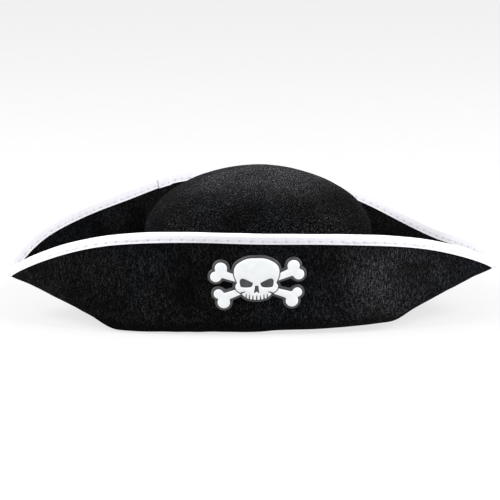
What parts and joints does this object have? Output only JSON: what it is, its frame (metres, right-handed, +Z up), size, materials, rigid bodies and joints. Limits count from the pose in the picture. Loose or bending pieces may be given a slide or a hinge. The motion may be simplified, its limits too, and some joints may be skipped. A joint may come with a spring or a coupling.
{
  "type": "pirate tricorn hat",
  "caption": "Black felt tricorn pirate hat with a round crown, three turned-up flaps, white ribbon edge binding and a skull-and-crossbones badge.",
  "frame": {"origin": "middle of the head opening, level with the underside of the brim", "axes": "+X to the wearer's left, which is the right of a viewer facing the badge; -Y out of the front flap; +Z up through the crown"},
  "size_m": [0.403, 0.3284, 0.1125],
  "materials": {
    "black_felt": "brushed polyester felt with a short pile",
    "white_ribbon": "matt woven ribbon",
    "white_thread": "polyester sewing thread",
    "black_thread": "polyester sewing thread",
    "sweatband_ribbon": "grosgrain ribbon",
    "label_satin": "satin",
    "badge_white": "soft satin plastic",
    "badge_grey": "soft satin plastic",
    "hot_glue": "set hot-melt glue"
  },
  "bodies": {
    "root": {"crown": "black_felt", "brim": "black_felt", "edge_binding": "white_ribbon", "binding_stitching": "white_thread", "crown_seam_stitching": "black_thread", "sweatband": "sweatband_ribbon", "sweatband_stitching": "black_thread", "care_label": "label_satin", "badge_glue": "hot_glue", "badge_backing": "badge_grey", "badge_skull": "badge_white", "badge_bone_upper_left": "badge_white", "badge_bone_upper_right": "badge_white", "badge_bone_lower_left": "badge_white", "badge_bone_lower_right": "badge_white"}
  },
  "joints": []
}
